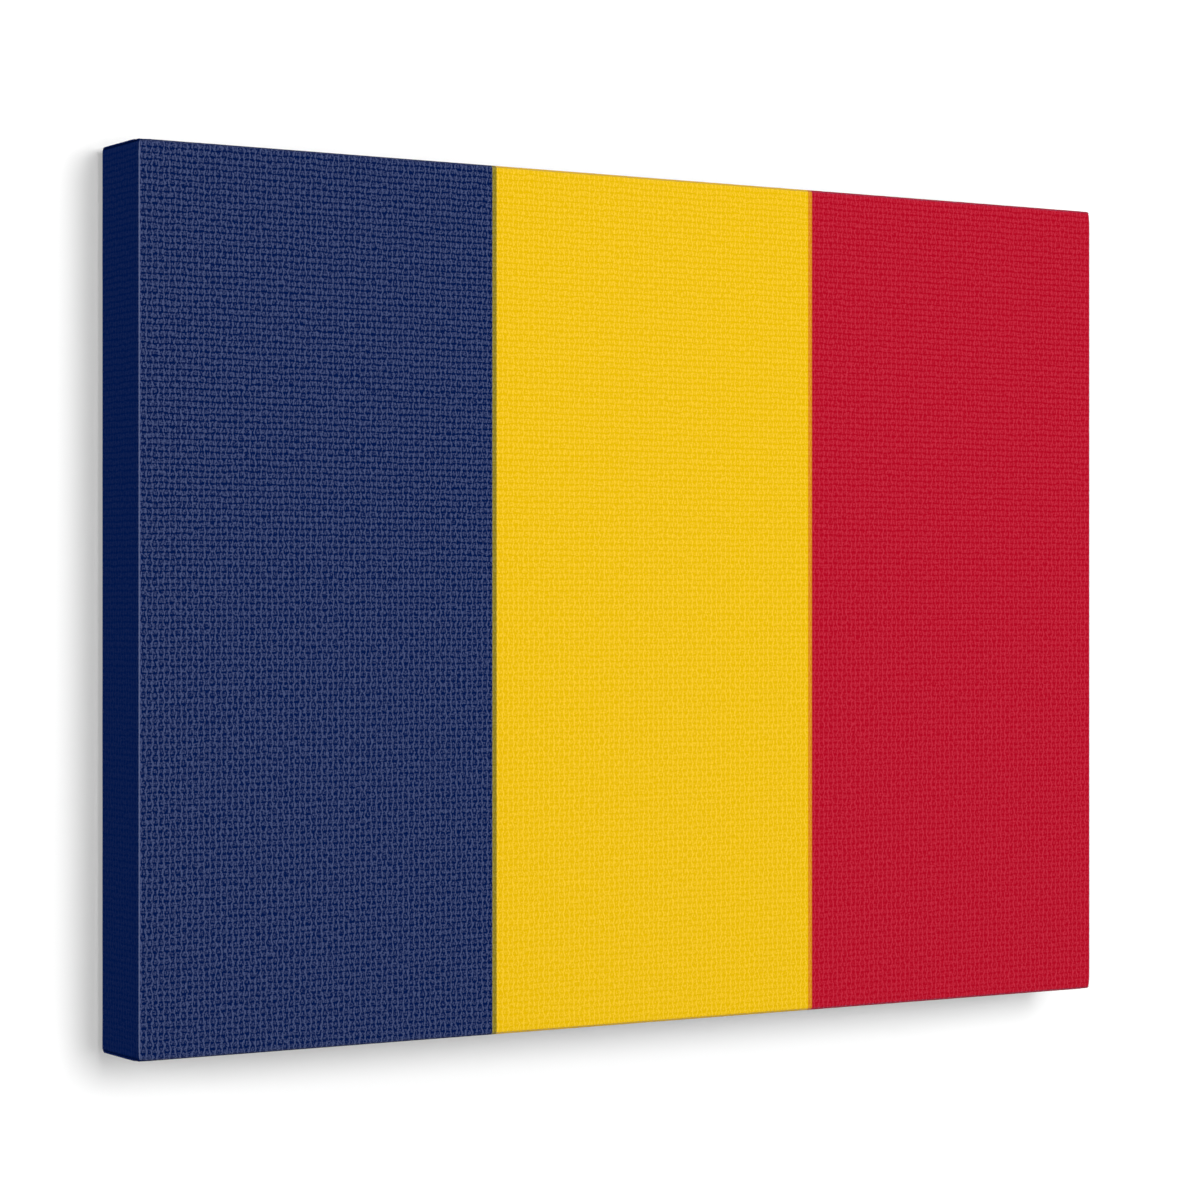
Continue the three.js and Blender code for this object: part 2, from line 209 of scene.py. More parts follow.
def make_weave_group():
    """Plain weave on flat cloth coordinates in metres: yarns over and under, and their fibres. Its Crown
    output is painted light: highlight on the yarn crowns, shade in the furrows.
    """
    group, start, end = new_group(
        "plain_weave",
        [
            ("Vector", "NodeSocketVector", None),
            ("Pitch", "NodeSocketFloat", YARN_PITCH),
            ("Wander", "NodeSocketFloat", 1.9 * MM),
            ("Rows", "NodeSocketFloat", 0.5),
        ],
        [
            ("Height", "NodeSocketFloat"),
            ("Crown", "NodeSocketFloat"),
            ("Fibre", "NodeSocketFloat"),
        ],
    )
    flat = start.outputs["Vector"]
    drift = add(group, "ShaderNodeTexNoise", {"Vector": flat, "Scale": DRIFT_SCALE, "Detail": 2.5})
    middle = (0.5, 0.5, 0.5)
    centred = add(
        group, "ShaderNodeVectorMath", {0: drift.outputs[1], 1: middle}, operation="SUBTRACT"
    )
    drifted = add(group, "ShaderNodeVectorMath", {0: centred.outputs[0]}, operation="SCALE")
    group.links.new(start.outputs["Wander"], drifted.inputs["Scale"])
    moved = add(
        group, "ShaderNodeVectorMath", {0: flat, 1: drifted.outputs[0]}, operation="ADD"
    )
    parts = add(group, "ShaderNodeSeparateXYZ", {0: moved.outputs[0]})
    turn = maths(group, "DIVIDE", math.pi, start.outputs["Pitch"])
    x = times(group, parts.outputs[0], turn)
    y = times(group, parts.outputs[1], turn)
    cos_x = maths(group, "COSINE", x)
    sin_x = maths(group, "SINE", x)
    cos_y = maths(group, "COSINE", y)
    sin_y = maths(group, "SINE", y)
    column = maths(group, "ABSOLUTE", cos_x)
    row = maths(group, "ABSOLUTE", cos_y)

    # height: each yarn is round, and rises and dips by turns
    warp_rise = times(group, times(group, maths(group, "SIGN", cos_x), cos_y), YARN_LIFT)
    weft_rise = times(group, times(group, maths(group, "SIGN", cos_y), cos_x), YARN_LIFT)
    warp = maths(group, "ADD", column, warp_rise)
    weft = maths(group, "SUBTRACT", row, weft_rise)
    top = maths(group, "DIVIDE", maths(group, "MAXIMUM", warp, weft), 1 + YARN_LIFT)
    fibre = cloudy(group, flat, FIBRE_SCALE, detail=2.0)
    ply = cloudy(group, scaled(group, flat, PLY_SCALE), 1.0)
    rough = scale_shift(group, fibre, 0.12, top)

    # crowns: painted highlights on pale strands that snake between the columns, cut by painted shade in
    # dark furrows between the rows
    snake = times(group, maths(group, "COSINE", maths(group, "ADD", y, SNAKE_LAG)), SNAKE_REACH)
    snaking = scale_shift(group, snake, maths(group, "SIGN", sin_x), x)
    beside = maths(group, "ABSOLUTE", maths(group, "COSINE", snaking))
    along = maths(group, "ABSOLUTE", maths(group, "SINE", snaking))
    strand = remap(group, beside, 0.0, 0.75, 1.0, 0.0)
    core = remap(group, along, 0.0, 0.6, 1.0, 0.0)
    furrow = remap(group, row, 0.0, 0.70, 1.0, 0.0)
    over_column = remap(group, column, 0.35, 0.85)
    broken = remap(group, column, 0.02, 0.5, 0.5, 1.0)
    chequer = times(group, cos_x, maths(group, "SIGN", sin_y))
    stagger = scale_shift(group, chequer, 0.5, 0.5)

    lit_rows = scale_shift(group, strand, 0.44, scale_shift(group, core, 0.14, 0.34))
    # the dark dashes here and the dots below are painted shade in the furrows
    dashes = times(group, furrow, scale_shift(group, stagger, -0.32, -0.38))
    ribbed = scale_shift(group, dashes, broken, lit_rows)

    lit_cords = scale_shift(group, strand, 0.42, scale_shift(group, core, 0.12, 0.33))
    dot_depth = scale_shift(group, stagger, -0.44, -0.22)
    dots = times(group, times(group, furrow, over_column), dot_depth)
    corded = scale_shift(group, furrow, -0.12, maths(group, "ADD", lit_cords, dots))

    woven = blend_values(group, start.outputs["Rows"], corded, ribbed)
    fuzzed = swing(group, fibre, FIBRE_REACH, woven)
    plied = swing(group, ply, PLY_REACH, fuzzed)
    crown_light_and_shade = maths(group, "MULTIPLY_ADD", plied, CROWN_CONTRAST, CROWN_LEVEL, clamp=True)
    group.links.new(rough, end.inputs["Height"])
    group.links.new(crown_light_and_shade, end.inputs["Crown"])
    group.links.new(fibre, end.inputs["Fibre"])
    return group


# wood: noise scales are per metre, and the tree's heart lies beside the bar
WANDER_SCALE = (2.2, 16.0, 16.0)
KNOT_SCALE = (5.5, 24.0, 24.0)
SEASON_SCALE = (0.8, 130.0, 130.0)
GRAIN_SCALE = (14.0, 900.0, 900.0)
HEART_ASIDE = 21 * MM
HEART_ABOVE = -34 * MM


def make_wood_group():
    """Softwood with its grain along the vector's X, in metres: growth rings, knots and fibres."""
    group, start, end = new_group(
        "wood_grain",
        [
            ("Vector", "NodeSocketVector", None),
            ("Ring Width", "NodeSocketFloat", 2.8 * MM),
            ("Knots", "NodeSocketFloat", 1.0),
        ],
        [
            ("Latewood", "NodeSocketFloat"),
            ("Fibre", "NodeSocketFloat"),
            ("Knot", "NodeSocketFloat"),
            ("Height", "NodeSocketFloat"),
        ],
    )
    place = start.outputs["Vector"]
    wander = cloudy(group, scaled(group, place, WANDER_SCALE), 1.0, detail=2.0)
    spaced = scaled(group, place, KNOT_SCALE)
    cells = add(group, "ShaderNodeTexVoronoi", {"Vector": spaced, "Scale": 1.0})
    from_knot = cells.outputs["Distance"]
    knot = times(group, remap(group, from_knot, 0.16, 0.05), start.outputs["Knots"])
    pull = times(group, remap(group, from_knot, 0.42, 0.05), start.outputs["Knots"])
    parts = add(group, "ShaderNodeSeparateXYZ", {0: place})
    sideways = maths(group, "ADD", parts.outputs[1], HEART_ASIDE)
    upward = maths(group, "ADD", parts.outputs[2], HEART_ABOVE)
    squares = maths(
        group, "ADD", maths(group, "POWER", sideways, 2.0), maths(group, "POWER", upward, 2.0)
    )
    from_heart = maths(group, "SQRT", squares)
    wavy = scale_shift(group, wander, 12 * MM, from_heart)
    bent = maths(group, "ADD", wavy, times(group, pull, 6 * MM))
    season = cloudy(group, scaled(group, place, SEASON_SCALE), 1.0, detail=1.0)
    grown = scale_shift(group, season, 7 * MM, bent)
    phase = maths(group, "FRACT", maths(group, "DIVIDE", grown, start.outputs["Ring Width"]))
    ring = times(group, remap(group, phase, 0.25, 0.92), remap(group, phase, 1.0, 0.93))
    late = times(group, ring, remap(group, wander, 0.3, 0.7, 0.35, 1.0))
    fibre = cloudy(group, scaled(group, place, GRAIN_SCALE), 1.0, detail=3.0)
    height = scale_shift(group, fibre, 0.5, times(group, late, 0.2))
    group.links.new(late, end.inputs["Latewood"])
    group.links.new(fibre, end.inputs["Fibre"])
    group.links.new(knot, end.inputs["Knot"])
    group.links.new(height, end.inputs["Height"])
    return group


def make_handling_group():
    """Faint grubby clouds and fine specks, as on anything that has been handled."""
    group, start, end = new_group(
        "handling_marks",
        [("Vector", "NodeSocketVector", None), ("Size", "NodeSocketFloat", 30.0)],
        [("Cloud", "NodeSocketFloat"), ("Speck", "NodeSocketFloat")],
    )
    place = start.outputs["Vector"]
    cloud = add(group, "ShaderNodeTexNoise", {"Vector": place, "Detail": 3.0})
    group.links.new(start.outputs["Size"], cloud.inputs["Scale"])
    speck = cloudy(group, place, 1400.0, detail=1.0)
    group.links.new(remap(group, cloud.outputs[0], 0.35, 0.7), end.inputs["Cloud"])
    group.links.new(remap(group, speck, 0.66, 0.74), end.inputs["Speck"])
    return group


WEAVE = make_weave_group()
WOOD = make_wood_group()
HANDLING = make_handling_group()


# ------------------------------------------------------------------ cloth materials
# each ink as painted in the weave's furrows, darkened as shade, and on its crowns, lightened as sheen
INKS_IN_FURROW_SHADE = {
    "navy": srgb(1, 20, 67),
    "olive": srgb(128, 113, 26),
    "yellow": srgb(217, 174, 4),
    "orange": srgb(198, 121, 16),
    "red": srgb(165, 8, 32),
}
INKS_WITH_CROWN_SHEEN = {
    "navy": srgb(65, 75, 112),
    "olive": srgb(148, 133, 55),
    "yellow": srgb(233, 190, 46),
    "orange": srgb(212, 140, 46),
    "red": srgb(185, 40, 60),
}
PRIMER = srgb(226, 224, 218)
# pale navy grey painted as a highlight along the front folds
FOLD_HIGHLIGHT_COLOUR = srgb(94, 103, 134)
COTTON = srgb(232, 226, 211)
COTTON_SHADE = srgb(206, 197, 178)
COTTON_AGED = srgb(206, 194, 168)
HUSK = srgb(128, 98, 62)

# how much of the crowns' painted sheen shows on the sides, which the lamps light less, and how strong
# the painted highlight on the upright folds is
SIDE_CROWN_SHEEN = 0.11
UPRIGHT_HIGHLIGHT = 0.9
# where up the cloth the painted crown highlights and furrow shade go from corded to ribbed
ROWS_FROM = 0.01
ROWS_TO = 0.13


def printed_bands(tree, across, inks):
    """Three upright bands with a thin blended line between each two."""
    half_line = BORDER_WIDTH / 2
    edges = [
        (FIRST_BORDER - half_line, "olive"),
        (FIRST_BORDER + half_line, "yellow"),
        (SECOND_BORDER - half_line, "orange"),
        (SECOND_BORDER + half_line, "red"),
    ]
    colour = inks["navy"]
    for place, ink in edges:
        past = remap(tree, across, place - BORDER_FEATHER, place + BORDER_FEATHER)
        colour = blend_colours(tree, past, colour, inks[ink])
    return colour


def make_printed_canvas():
    """The picture side: printed, primed weave, with bare primer past the print on the margin. Each ink
    is painted darker in the furrows as shade and lighter on the crowns as sheen, the sheen faint on the
    sides, and a painted highlight runs along the front folds.
    """
    material, tree, shader = new_material("printed_canvas", roughness=0.62)
    flat = add(tree, "ShaderNodeUVMap", uv_map="cloth").outputs[0]
    parts = add(tree, "ShaderNodeSeparateXYZ", {0: flat})
    across, up = parts.outputs[0], parts.outputs[1]
    tilt = cloudy(tree, flat, 9.0, detail=1.0)
    rows = remap(tree, scale_shift(tree, tilt, 0.12, up), ROWS_FROM, ROWS_TO)
    weave = use_group(tree, WEAVE, {"Vector": flat, "Rows": rows})
    crown, height, fibre = weave.outputs["Crown"], weave.outputs["Height"], weave.outputs["Fibre"]
    edge_across = maths(tree, "SUBTRACT", maths(tree, "ABSOLUTE", across), HALF_WIDTH)
    edge_up = maths(tree, "SUBTRACT", maths(tree, "ABSOLUTE", up), HALF_HEIGHT)
    over = maths(tree, "MAXIMUM", edge_across, edge_up)
    on_side = remap(tree, over, -0.4 * MM, 0.8 * MM)
    ragged = swing(tree, fibre, 0.3 * MM, across)
    furrow_shaded_ink = printed_bands(tree, ragged, INKS_IN_FURROW_SHADE)
    crown_sheen_ink = printed_bands(tree, ragged, INKS_WITH_CROWN_SHEEN)
    # less painted crown sheen on the sides than on the face
    share = blend_values(tree, on_side, 1.0, SIDE_CROWN_SHEEN)
    crown_sheen_shown = maths(tree, "MULTIPLY", crown, share, clamp=True)
    # inked: the print, with painted shade in the furrows and painted sheen on the crowns
    inked = blend_colours(tree, crown_sheen_shown, furrow_shaded_ink, crown_sheen_ink)
    # a painted highlight along the front folds: strong on the upright ones, patchy with the crowns on
    # the others
    from_fold = maths(tree, "ABSOLUTE", maths(tree, "ADD", over, 0.45 * MM))
    fold_line = remap(tree, from_fold, 0.5 * MM, 0.1 * MM)
    which_fold = maths(tree, "SUBTRACT", edge_across, edge_up)
    upright = remap(tree, which_fold, -0.3 * MM, 0.3 * MM, 0.0, UPRIGHT_HIGHLIGHT)
    patchy = maths(tree, "MAXIMUM", scale_shift(tree, crown, 0.55, 0.25), upright)
    fold_highlighted = blend_colours(tree, times(tree, fold_line, patchy), inked, FOLD_HIGHLIGHT_COLOUR)
    print_end = SIDE_DEPTH + PRINT_BLEED
    bare = remap(tree, over, print_end - 0.3 * MM, print_end + 0.3 * MM)
    colour = blend_colours(tree, bare, fold_highlighted, PRIMER)
    tree.links.new(colour, shader.inputs["Base Color"])
    shader.inputs["Specular IOR Level"].default_value = 0.0
    tree.links.new(remap(tree, crown, 0.0, 1.0, 0.72, 0.55), shader.inputs["Roughness"])
    put_bump(tree, shader, height, 0.5, 0.2 * MM)
    return material


def make_raw_cloth():
    """The reverse: bare cotton weave with slubs and flecks of husk, with painted shade in the furrows
    and painted highlight on the crowns.
    """
    material, tree, shader = new_material("raw_cloth", roughness=0.9)
    flat = add(tree, "ShaderNodeUVMap", uv_map="cloth").outputs[0]
    weave = use_group(tree, WEAVE, {"Vector": flat, "Rows": 0.55, "Wander": 1.6 * MM})
    marks = use_group(tree, HANDLING, {"Vector": flat, "Size": 22.0})
    husk = cloudy(tree, flat, 420.0, detail=1.0)
    fleck = remap(tree, husk, 0.70, 0.76)
    # COTTON_SHADE is painted shade in the furrows; the crowns are painted lighter as highlight
    thread = blend_colours(tree, weave.outputs["Crown"], COTTON_SHADE, COTTON)
    aged = blend_colours(tree, times(tree, marks.outputs["Cloud"], 0.25), thread, COTTON_AGED)
    flecked = blend_colours(tree, times(tree, fleck, 0.5), aged, HUSK)
    dullness = remap(tree, weave.outputs["Fibre"], 0.3, 0.7, 0.82, 0.96)
    tree.links.new(flecked, shader.inputs["Base Color"])
    tree.links.new(dullness, shader.inputs["Roughness"])
    shader.inputs["Specular IOR Level"].default_value = 0.15
    put_bump(tree, shader, weave.outputs["Height"], 0.4, 0.25 * MM)
    return material


# ------------------------------------------------------------------ wood, metal and rubber
PINE_LIGHT = srgb(226, 198, 150)
PINE_DARK = srgb(196, 150, 96)
KEY_LIGHT = srgb(214, 182, 136)
KEY_DARK = srgb(178, 136, 90)
KNOT_BROWN = srgb(116, 70, 38)
HANDLED_WOOD = srgb(176, 136, 86)
WIRE_BRIGHT = srgb(202, 204, 206)
WIRE_DULL = srgb(160, 162, 166)
ZINC_BRIGHT = srgb(206, 208, 210)
ZINC_DULL = srgb(168, 170, 176)
ZINC_LINE = srgb(140, 142, 148)
ROLLED_SCALE = (60.0, 2600.0, 2600.0)
RUBBER_MILKY = srgb(226, 226, 222)
RUBBER_GREY = srgb(204, 204, 200)
RUBBER_DUST = srgb(150, 148, 142)


def make_timber(name, turn, early, dark, knots, ring_width=2.8 * MM, roughness=0.6):
    """Planed softwood. The turn puts the grain along the piece."""
    material, tree, shader = new_material(name, roughness=roughness)
    place = add(tree, "ShaderNodeTexCoord").outputs["Object"]
    lengthwise = scaled(tree, place, (1, 1, 1), rotation=turn)
    grain = use_group(tree, WOOD, {"Vector": lengthwise, "Knots": knots, "Ring Width": ring_width})
    marks = use_group(tree, HANDLING, {"Vector": place, "Size": 18.0})
    fibre = remap(tree, grain.outputs["Fibre"], 0.25, 0.75)
    ringed = blend_colours(tree, times(tree, grain.outputs["Latewood"], 0.6), early, dark)
    streaked = blend_colours(tree, times(tree, fibre, 0.22), ringed, dark)
    knotty = blend_colours(tree, grain.outputs["Knot"], streaked, KNOT_BROWN)
    handled = blend_colours(tree, times(tree, marks.outputs["Cloud"], 0.16), knotty, HANDLED_WOOD)
    dullness = remap(tree, fibre, 0.0, 1.0, roughness - 0.08, roughness + 0.12)
    tree.links.new(handled, shader.inputs["Base Color"])
    tree.links.new(dullness, shader.inputs["Roughness"])
    put_bump(tree, shader, grain.outputs["Height"], 0.35, 0.12 * MM)
    return material


def make_wire():
    """Galvanised staple wire, drawn and slightly dull."""
    material, tree, shader = new_material("staple_wire", roughness=0.35, metallic=1.0)
    place = add(tree, "ShaderNodeTexCoord").outputs["Object"]
    marks = use_group(tree, HANDLING, {"Vector": place, "Size": 300.0})
    colour = blend_colours(tree, marks.outputs["Cloud"], WIRE_BRIGHT, WIRE_DULL)
    tree.links.new(colour, shader.inputs["Base Color"])
    tree.links.new(remap(tree, marks.outputs["Cloud"], 0.0, 1.0, 0.28, 0.5), shader.inputs["Roughness"])
    put_bump(tree, shader, marks.outputs["Speck"], 0.3, 0.03 * MM)
    return material


def make_zinc():
    """Pressed, zinc-plated steel: cloudy plating with fine rolling lines."""
    material, tree, shader = new_material("zinc_steel", roughness=0.32, metallic=1.0)
    place = add(tree, "ShaderNodeTexCoord").outputs["Object"]
    marks = use_group(tree, HANDLING, {"Vector": place, "Size": 160.0})
    rolled = cloudy(tree, scaled(tree, place, ROLLED_SCALE), 1.0, detail=2.0)
    plating = blend_colours(tree, marks.outputs["Cloud"], ZINC_BRIGHT, ZINC_DULL)
    lined = blend_colours(tree, remap(tree, rolled, 0.4, 0.7, 0.0, 0.3), plating, ZINC_LINE)
    tree.links.new(lined, shader.inputs["Base Color"])
    tree.links.new(remap(tree, marks.outputs["Cloud"], 0.0, 1.0, 0.24, 0.44), shader.inputs["Roughness"])
    put_bump(tree, shader, rolled, 0.25, 0.04 * MM)
    return material


def make_rubber():
    """Milky soft bumper with a faint moulding texture and dust."""
    material, tree, shader = new_material("bumper_rubber", roughness=0.42)
    place = add(tree, "ShaderNodeTexCoord").outputs["Object"]
    marks = use_group(tree, HANDLING, {"Vector": place, "Size": 220.0})
    body = blend_colours(tree, marks.outputs["Cloud"], RUBBER_MILKY, RUBBER_GREY)
    dusty = blend_colours(tree, times(tree, marks.outputs["Speck"], 0.5), body, RUBBER_DUST)
    tree.links.new(dusty, shader.inputs["Base Color"])
    tree.links.new(remap(tree, marks.outputs["Cloud"], 0.0, 1.0, 0.34, 0.52), shader.inputs["Roughness"])
    shader.inputs["Subsurface Weight"].default_value = 0.3
    shader.inputs["Subsurface Radius"].default_value = (2 * MM, 2 * MM, 2 * MM)
    put_bump(tree, shader, marks.outputs["Cloud"], 0.2, 0.05 * MM)
    return material


# ------------------------------------------------------------------ the cloth, cut flat and folded
# folds over the bars: their rounding at the front and at the back
RIM = 1.8 * MM
BACK_RIM = 3.4 * MM
CORNER_BEND = 1.3 * MM
# tucks: how far they sit in, how tight they are, and how the wraps over them lie
LAYERS = 2 * CLOTH_THICKNESS + 0.05 * MM
TUCK_SHARE = 0.3
TUCK_STARTS = 0.8 * MM
TUCK_ENDS = 4.5 * MM
OVERLAP_LIFT = 0.45 * MM
FLAP_REST = 0.5 * MM
BACK_BEND = 0.6 * MM
DRAWN_IN = 2.4 * MM
DRAWN_LENGTH = 18 * MM
SETTLE_LENGTH = 14 * MM
OVERLAP_EASE = 7 * MM
# how uneven the turned-back margin is, and how far it rises beside each staple
RIPPLE = 0.12 * MM
RIPPLE_SCALE = 45
RIPPLE_SEED = 3.1
PUCKER = 0.6 * MM
PUCKER_REACH = 20 * MM
PUCKER_RUN = 8 * MM
SWELL_WIDTH = 5 * MM
DENT_WIDTH = 2 * MM
DENT_SHARE = 1.1
# the part of each corner's hidden cloth that is kept, and its material slot
CORNER_KEPT = 5.5 * MM
CORNER_SLOT = 2
# how far apart the cloth is ruled where it is flat, and how many lines cross a side and a margin
FACE_STEP = 4 * MM
SIDE_LINES = 12
MARGIN_LINES = 15


def rule_lines(half_face, face_step):
    """Where the cloth is ruled in one direction: close together over the folds, wider between them."""
    count = round(2 * (half_face - RIM) / face_step)
    step = 2 * (half_face - RIM) / count
    face = [-half_face + RIM + step * n for n in range(count + 1)]
    arc = [RIM * part for part in (-0.75, -0.5, -0.25, -0.125, 0.0, 0.125, 0.25, 0.5, 0.75, 1.0)]
    wall_start = 2.5 * MM
    wall_end = SIDE_DEPTH - BACK_RIM
    wall = [wall_start + (wall_end - wall_start) * n / SIDE_LINES for n in range(SIDE_LINES)]
    back_arc = [SIDE_DEPTH + BACK_RIM * part for part in (-1.0, -0.7, -0.45, -0.22)]
    back_arc += [SIDE_DEPTH + RIM * part for part in (0.0, 0.25, 0.5, 0.75, 1.0)]
    strip_start = SIDE_DEPTH + RIM
    strip_step = (MARGIN - RIM) / MARGIN_LINES
    strip = [strip_start + strip_step * (n + 1) for n in range(MARGIN_LINES)]
    beyond = [half_face + d for d in arc + wall + back_arc + strip]
    return [-d for d in reversed(beyond)] + face + beyond


def staple_spots():
    """Each staple's middle on the back, across and up, with its crown's direction."""
    spots = []
    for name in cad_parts:
        if name.startswith("staple_"):
            low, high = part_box(name)
            middle = (low + high) / 2
            lies = "along" if name.split("_")[1] in ("top", "bottom") else "up"
            spots.append((middle.x, middle.z, lies))
    return spots


STAPLES = staple_spots()


def bell(distance, width):
    """One at its middle, falling smoothly away to nothing."""
    return math.exp(-((distance / width) ** 2))


def staple_pucker(x, z):
    """How far the margin rises beside a staple and is pressed down under it."""
    rise = 0.0
    for spot_x, spot_z, lies in STAPLES:
        if max(abs(x - spot_x), abs(z - spot_z)) > PUCKER_REACH:
            continue
        run, cross = (x - spot_x, z - spot_z) if lies == "along" else (z - spot_z, x - spot_x)
        swell = bell(cross, SWELL_WIDTH) - DENT_SHARE * bell(cross, DENT_WIDTH)
        rise += PUCKER * bell(run, PUCKER_RUN) * swell
    return rise


def ease_out(place, signs, core_limits, rise, tightness=1.0):
    """The folded point, rounded over the frame's edges, then moved outwards by rise."""
    x, y, z = place
    limit_x, limit_z = core_limits
    core = Vector((min(x, limit_x), min(max(y, FRONT + RIM), BACK - BACK_RIM), min(z, limit_z)))
    bend = CORNER_BEND * (1 - smooth_step(FRONT + TUCK_STARTS, FRONT + TUCK_ENDS, y))
    past = Vector((core.x - limit_x + bend, core.z - limit_z + bend))
    if min(past.x, past.y) > 0 and past.length > bend:
        past *= bend / past.length
        core.x = limit_x - bend + past.x
        core.z = limit_z - bend + past.y
    shape = Vector((RIM, BACK_RIM if y > 0 else RIM, RIM * tightness))
    outward = Vector([(value - base) / size for value, base, size in zip((x, y, z), core, shape)])
    outward.normalize()
    point = core + outward * shape + outward * rise
    return Vector((point.x * signs[0], point.y, point.z * signs[1] + HALF_HEIGHT))


def fold_side(a, b, signs, ripple):
    """The left and right wraps: flat to the ends, and tucked under the top and bottom wraps."""
    depth = min(a, SIDE_DEPTH)
    starts = smooth_step(TUCK_STARTS, TUCK_ENDS, depth)
    lowered = LAYERS * starts
    height = HALF_HEIGHT + min(b, 0.0) - lowered * smooth_step(-SETTLE_LENGTH, 0, b)
    tightness = 1 - (1 - TUCK_SHARE) * starts
    limits = (HALF_WIDTH - RIM, HALF_HEIGHT - lowered - RIM * tightness)
    if a <= SIDE_DEPTH:
        place = (HALF_WIDTH - max(b, 0.0), FRONT + a, height)
        return ease_out(place, signs, limits, 0.0, tightness)
    under = smooth_step(-MARGIN - OVERLAP_EASE, -MARGIN + 0.5 * MM, b)
    turned = smooth_step(SIDE_DEPTH, SIDE_DEPTH + 2 * RIM, a)
    place = (HALF_WIDTH - (a - SIDE_DEPTH), BACK, height)
    pucker = staple_pucker(place[0] * signs[0], height * signs[1] + HALF_HEIGHT)
    rise = -OVERLAP_LIFT * under * turned + pucker * (1 - under) + RIPPLE * ripple
    return ease_out(place, signs, limits, rise, tightness)


def fold_wrap(a, b, signs, ripple):
    """The top and bottom wraps: their ends rolled under, flush over the tucked cloth at the corners."""
    depth = min(b, SIDE_DEPTH)
    inward = abs(a)
    starts = smooth_step(TUCK_STARTS, TUCK_ENDS, depth)
    clear = smooth_step(-1.2 * MM, 2.4 * MM, inward - depth)
    rise = -FLAP_REST * clear * smooth_step(RIM, OVERLAP_EASE, depth)
    roll = CLOTH_THICKNESS
    turn = math.pi * min(1.0, max(0.0, (a + roll) / (2 * roll)))
    rise -= roll * (1 - math.cos(turn)) * starts
    reach = HALF_WIDTH - inward
    if inward < roll:
        reach = HALF_WIDTH - roll + roll * math.sin(turn)
    limits = (HALF_WIDTH - RIM * (1 - starts), HALF_HEIGHT - RIM)
    near_end = 1 - smooth_step(0, DRAWN_LENGTH, inward)
    bent = BACK_BEND * near_end * smooth_step(SIDE_DEPTH - TUCK_ENDS, SIDE_DEPTH, depth)
    if b <= SIDE_DEPTH:
        return ease_out((reach - bent, FRONT + b, HALF_HEIGHT), signs, limits, rise)
    turned = smooth_step(SIDE_DEPTH, SIDE_DEPTH + 2 * RIM, b)
    drawn = bent + (DRAWN_IN - BACK_BEND) * turned * near_end
    corner = 1 - smooth_step(MARGIN - 1 * MM, MARGIN + OVERLAP_EASE, inward)
    place = (reach - drawn, BACK, HALF_HEIGHT - (b - SIDE_DEPTH))
    pucker = staple_pucker(place[0] * signs[0], place[2] * signs[1] + HALF_HEIGHT)
    rise += (FLAP_REST * clear + OVERLAP_LIFT * corner) * turned + pucker + RIPPLE * ripple
    return ease_out(place, signs, limits, rise)


def fold(across, up):
    """Where a point of the flat cloth comes to lie; a and b are how far it is past the picture."""
    signs = (1 if across >= 0 else -1, 1 if up >= 0 else -1)
    a = abs(across) - HALF_WIDTH
    b = abs(up) - HALF_HEIGHT
    ripple = noise.noise(Vector((across * RIPPLE_SCALE, up * RIPPLE_SCALE, RIPPLE_SEED)))
    if a <= 0 and b <= 0:
        limits = (HALF_WIDTH - RIM, HALF_HEIGHT - RIM)
        return ease_out((HALF_WIDTH + a, FRONT, HALF_HEIGHT + b), signs, limits, 0.0)
    if a > 0 and b < a:
        return fold_side(a, b, signs, ripple)
    return fold_wrap(a, b, signs, ripple)


def hidden_cloth(across, up):
    """Cloth folded away inside a corner, past the tuck that can be seen."""
    a = abs(across) - HALF_WIDTH
    b = abs(up) - HALF_HEIGHT
    if a <= 0 or b <= 0 or max(a, b) < CORNER_KEPT:
        return False
    if b > a:
        return a > RIM
    return b > RIM or a > SIDE_DEPTH - RIM


def corner_cloth(across, up):
    """The tight corner folds, inked right through so that no bare cotton shows in them."""
    a = abs(across) - HALF_WIDTH
    b = abs(up) - HALF_HEIGHT
    return min(a, b) > -3 * MM and max(a, b) < CORNER_KEPT


def make_canvas():
    """One sheet of cloth, ruled flat, folded over the bars and given its thickness."""
    lines_across = rule_lines(HALF_WIDTH, FACE_STEP)
    lines_up = rule_lines(HALF_HEIGHT, FACE_STEP)
    last_across = len(lines_across) - 1
    last_up = len(lines_up) - 1
    bm = bmesh.new()
    bmesh.ops.create_grid(bm, x_segments=last_across, y_segments=last_up, size=1)
    for vert in bm.verts:
        column = round((vert.co.x + 1) / 2 * last_across)
        row = round((vert.co.y + 1) / 2 * last_up)
        vert.co = (lines_across[column], lines_up[row], 0)
    flat_layer = bm.loops.layers.uv.new("cloth")
    for face in bm.faces:
        face.smooth = True
        for loop in face.loops:
            loop[flat_layer].uv = loop.vert.co.xy
        face.material_index = CORNER_SLOT if corner_cloth(*face.calc_center_median().xy) else 0
    tucked_away = [f for f in bm.faces if hidden_cloth(*f.calc_center_median().xy)]
    bmesh.ops.delete(bm, geom=tucked_away, context="FACES")
    for vert in bm.verts:
        vert.co = fold(vert.co.x, vert.co.y)
    mesh = bpy.data.meshes.new("stretched_cloth")
    bm.to_mesh(mesh)
    bm.free()
    printed = make_printed_canvas()
    for finish in (printed, make_raw_cloth(), printed, printed):
        mesh.materials.append(finish)
    cloth = bpy.data.objects.new("stretched_cloth", mesh)
    bpy.context.scene.collection.objects.link(cloth)
    wall = cloth.modifiers.new("thickness", "SOLIDIFY")
    wall.thickness = CLOTH_THICKNESS
    wall.offset = -1
    wall.material_offset = 1
    wall.material_offset_rim = 0
    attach(cloth, FRAME_BODY)
    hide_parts("canvas")
    return cloth


